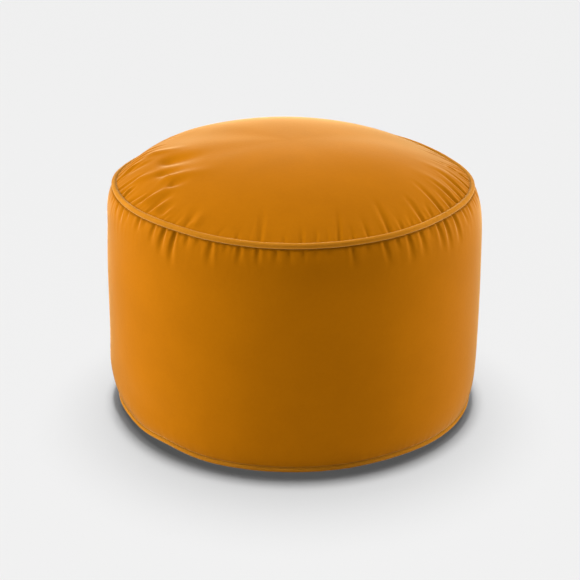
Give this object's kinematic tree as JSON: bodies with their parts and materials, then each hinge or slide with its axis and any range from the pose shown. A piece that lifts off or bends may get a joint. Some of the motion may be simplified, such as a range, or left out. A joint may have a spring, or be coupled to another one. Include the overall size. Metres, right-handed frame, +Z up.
{
  "type": "floor pouf",
  "caption": "Round filled velvet floor pouf with a crowned top, a full side band, corded piping in both seams and a dark base cloth.",
  "frame": {"origin": "on the floor under the middle of the pouf", "axes": "+Z up through the crown; the picture looks along +Y, with +X to the right"},
  "size_m": [0.5018, 0.5, 0.3656],
  "materials": {
    "velvet": "marigold short-pile cotton velvet, soft sheen at grazing angles",
    "piping": "the same velvet cut on the bias and sewn round a cord",
    "base_cloth": "matt black woven base cloth"
  },
  "bodies": {
    "root": {"top_panel": "velvet", "side_band": "velvet", "top_piping": "piping", "bottom_piping": "piping", "base_panel": "base_cloth"}
  },
  "joints": []
}
